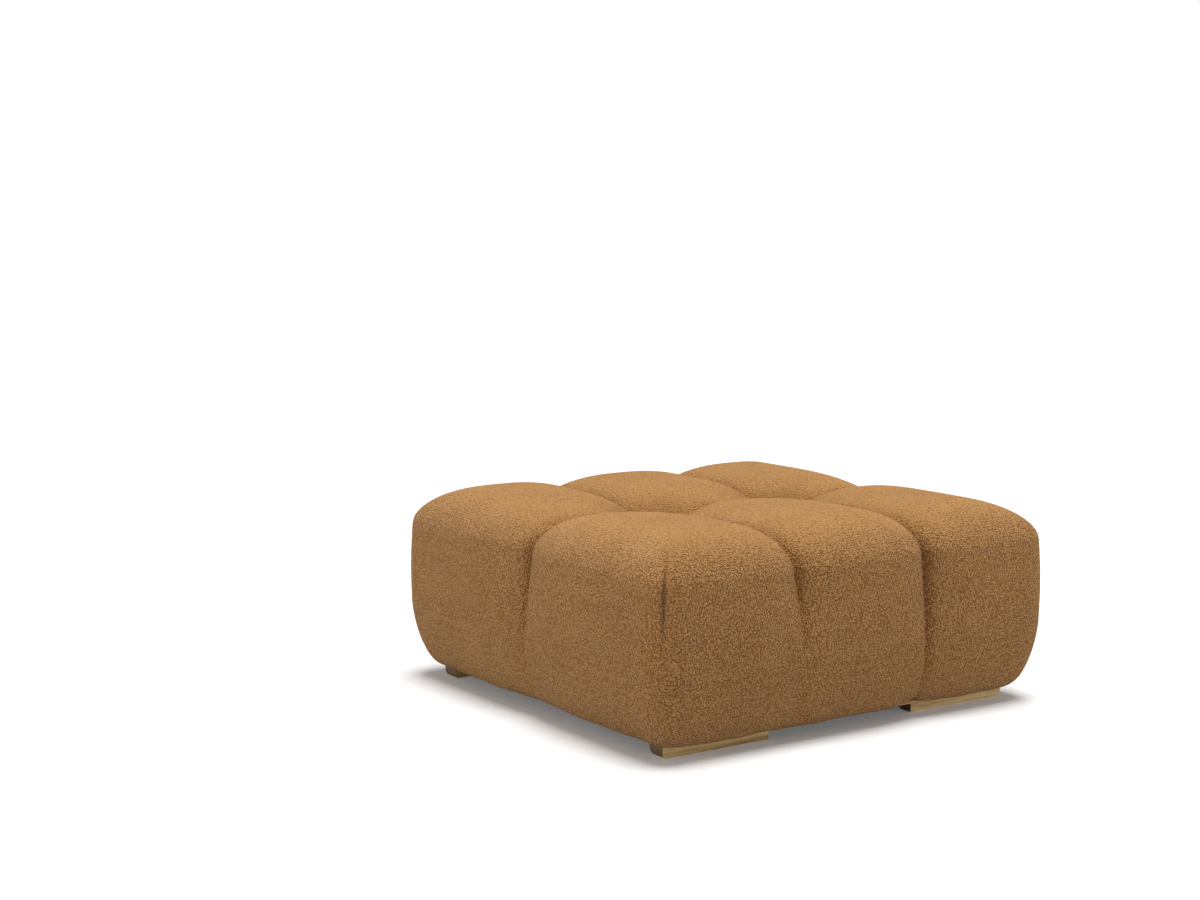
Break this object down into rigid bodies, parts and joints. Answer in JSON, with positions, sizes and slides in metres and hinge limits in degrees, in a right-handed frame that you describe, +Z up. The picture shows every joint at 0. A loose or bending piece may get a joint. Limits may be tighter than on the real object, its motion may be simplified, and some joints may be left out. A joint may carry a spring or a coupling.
{
  "type": "storage ottoman",
  "caption": "Low square storage ottoman in curly pile fabric with soft puffs and tufted channels; the padded hood lifts on rear hinges over a box on wooden skid feet.",
  "frame": {"origin": "middle of the footprint, on the floor", "axes": "+X along the long side and the hinge, -Y the front, +Y the hinge side, +Z up"},
  "size_m": [1.0178, 0.9918, 0.4289],
  "materials": {
    "boucle": "curly pile upholstery fabric, soft and matt",
    "oak": "light oak, matt clear lacquer",
    "plywood": "bare birch plywood",
    "softwood": "planed pine",
    "zinc_steel": "zinc-plated steel",
    "black_steel": "black painted steel",
    "chrome_rod": "hard-chromed steel",
    "rubber": "black rubber",
    "foam": "open-cell upholstery foam",
    "lining_fabric": "woven cotton lining",
    "dark_lining": "black non-woven lining",
    "dust_fabric": "black non-woven dust cover",
    "twine": "waxed tufting twine and toggles"
  },
  "bodies": {
    "base": {"base_board": "plywood", "foot_front_left": "oak", "foot_front_right": "oak", "foot_back_left": "oak", "foot_back_right": "oak", "foot_screws": "zinc_steel", "dust_cover": "dust_fabric", "box_front": "plywood", "box_back": "plywood", "box_left": "plywood", "box_right": "plywood", "box_lining_tray": "lining_fabric", "box_screws": "zinc_steel", "lid_buffers": "rubber", "hinge_base_left": "zinc_steel", "hinge_base_middle": "zinc_steel", "hinge_base_right": "zinc_steel", "hinge_pins": "zinc_steel", "hinge_base_screws": "zinc_steel", "strut_bracket_base_left": "black_steel", "strut_bracket_base_right": "black_steel", "bracket_base_screws": "zinc_steel"},
    "lid": {"lid_front_panel": "plywood", "lid_back_panel": "plywood", "lid_left_panel": "plywood", "lid_right_panel": "plywood", "lid_board": "plywood", "hinge_batten_rail": "softwood", "lid_rails": "softwood", "corner_blocks": "softwood", "lid_lining": "dark_lining", "lid_screws": "zinc_steel", "hinge_lid_left": "zinc_steel", "hinge_lid_middle": "zinc_steel", "hinge_lid_right": "zinc_steel", "hinge_lid_screws": "zinc_steel", "strut_bracket_lid_left": "black_steel", "strut_bracket_lid_right": "black_steel", "bracket_lid_screws": "zinc_steel", "foam_top": "foam", "foam_front": "foam", "foam_back": "foam", "foam_left": "foam", "foam_right": "foam", "tuft_ties": "twine", "cover": "boucle"},
    "strut_cylinder_left": {"strut_tube_left": "black_steel", "strut_gland_left": "zinc_steel"},
    "strut_cylinder_right": {"strut_tube_right": "black_steel", "strut_gland_right": "zinc_steel"},
    "strut_plunger_left": {"strut_rod_left": "chrome_rod", "strut_piston_left": "zinc_steel"},
    "strut_plunger_right": {"strut_rod_right": "chrome_rod", "strut_piston_right": "zinc_steel"}
  },
  "joints": [
    {"name": "lid_hinge", "type": "hinge", "parent": "base", "child": "lid", "pos_m": [0, 0.421, 0.0395], "axis": [-1, 0, 0], "range_deg": [0, 50]},
    {"name": "strut_left_lower_pivot", "type": "hinge", "parent": "base", "child": "strut_cylinder_left", "pos_m": [-0.4075, 0.17982, 0.0606], "axis": [-1, 0, 0], "range_deg": [0, 25]},
    {"name": "strut_left_upper_pivot", "type": "hinge", "parent": "lid", "child": "strut_plunger_left", "pos_m": [-0.4075, 0.31868, 0.25892], "axis": [-1, 0, 0], "range_deg": [-25, 0]},
    {"name": "strut_right_lower_pivot", "type": "hinge", "parent": "base", "child": "strut_cylinder_right", "pos_m": [0.4075, 0.17982, 0.0606], "axis": [-1, 0, 0], "range_deg": [0, 25]},
    {"name": "strut_right_upper_pivot", "type": "hinge", "parent": "lid", "child": "strut_plunger_right", "pos_m": [0.4075, 0.31868, 0.25892], "axis": [-1, 0, 0], "range_deg": [-25, 0]}
  ],
  "couplings": [
    {"joint": "strut_left_lower_pivot", "follows": "lid_hinge", "ratio": 0.5},
    {"joint": "strut_left_upper_pivot", "follows": "lid_hinge", "ratio": -0.5},
    {"joint": "strut_right_lower_pivot", "follows": "lid_hinge", "ratio": 0.5},
    {"joint": "strut_right_upper_pivot", "follows": "lid_hinge", "ratio": -0.5}
  ]
}
